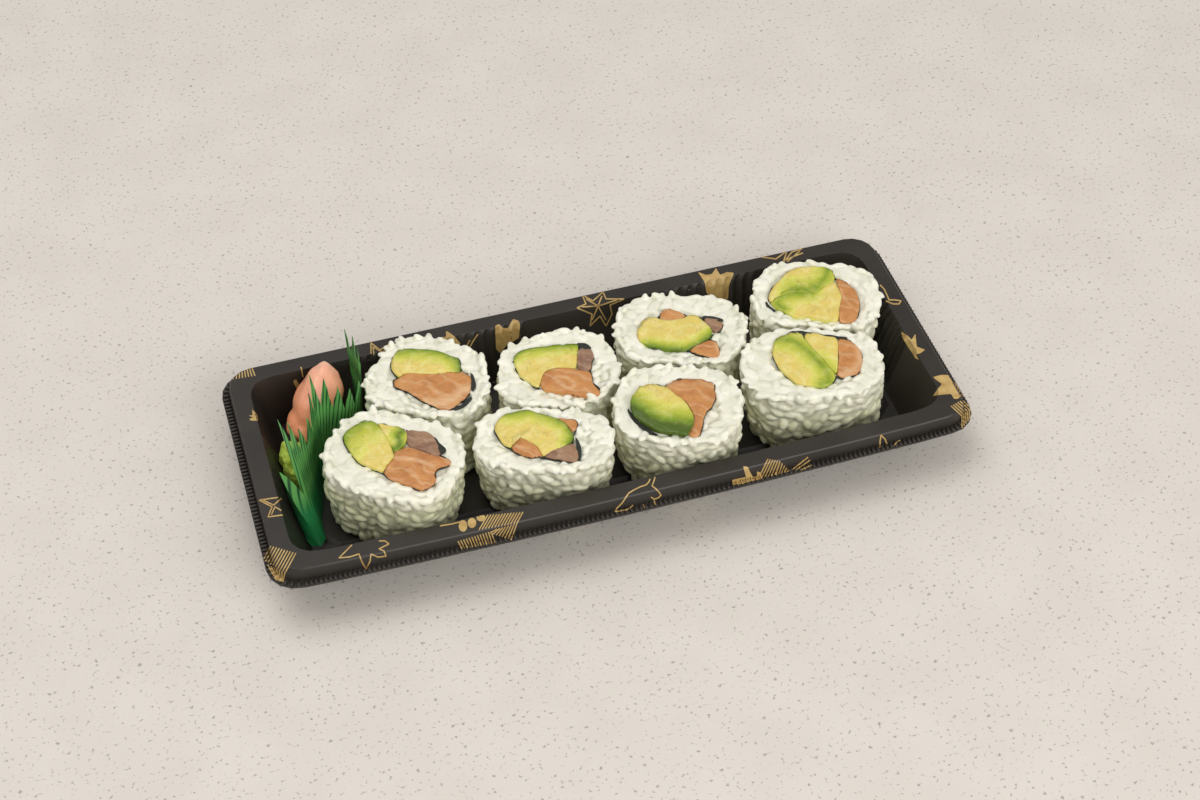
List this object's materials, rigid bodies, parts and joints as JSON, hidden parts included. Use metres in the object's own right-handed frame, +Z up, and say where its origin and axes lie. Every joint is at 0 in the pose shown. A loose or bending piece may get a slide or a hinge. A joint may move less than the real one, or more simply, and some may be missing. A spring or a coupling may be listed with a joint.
{
  "type": "takeaway sushi tray",
  "caption": "Black thermoformed takeaway tray with gold leaf print, holding inside-out salmon and avocado rolls, a grass divider, pickled ginger and wasabi.",
  "frame": {"origin": "on the ground, under the middle of the tray's outline", "axes": "+X along the tray's length away from the ginger, +Y from the front row to the back row, +Z up"},
  "size_m": [0.2192, 0.0936, 0.042],
  "materials": {
    "tray_plastic": "glossy black thermoformed plastic with gold leaf, blossom and hatch print",
    "divider_plastic": "thin green plastic grass",
    "rice": "food: moist cooked rice grains pressed together",
    "seaweed": "food: thin dark seaweed sheet",
    "avocado": "food: moist avocado, yellow inside to green at the skin side",
    "salmon": "food: moist orange salmon with pale fat lines",
    "salmon_dark": "food: grey-brown salmon from near the skin",
    "ginger": "food: wet pink pickled ginger slices",
    "wasabi": "food: yellow-green wasabi paste"
  },
  "bodies": {
    "root": {"tray": "tray_plastic", "divider": "divider_plastic", "ginger": "ginger", "wasabi": "wasabi", "rice_front1": "rice", "seaweed_front1": "seaweed", "avocado_front1": "avocado", "avocado_bit_front1": "avocado", "salmon_dark_front1": "salmon_dark", "salmon_front1": "salmon", "rice_back1": "rice", "seaweed_back1": "seaweed", "avocado_back1": "avocado", "salmon_back1": "salmon", "rice_front2": "rice", "seaweed_front2": "seaweed", "avocado_front2": "avocado", "salmon_front2": "salmon", "salmon_dark_front2": "salmon_dark", "salmon_tip_front2": "salmon", "rice_back2": "rice", "seaweed_back2": "seaweed", "avocado_back2": "avocado", "salmon_back2": "salmon", "salmon_dark_back2": "salmon_dark", "rice_front3": "rice", "seaweed_front3": "seaweed", "avocado_front3": "avocado", "salmon_front3": "salmon", "rice_back3": "rice", "seaweed_back3": "seaweed", "avocado_back3": "avocado", "salmon_top_back3": "salmon", "salmon_back3": "salmon", "salmon_dark_back3": "salmon_dark", "rice_front4": "rice", "seaweed_front4": "seaweed", "avocado_front4": "avocado", "avocado_second_front4": "avocado", "salmon_front4": "salmon", "rice_back4": "rice", "seaweed_back4": "seaweed", "avocado_back4": "avocado", "avocado_second_back4": "avocado", "salmon_back4": "salmon"}
  },
  "joints": []
}
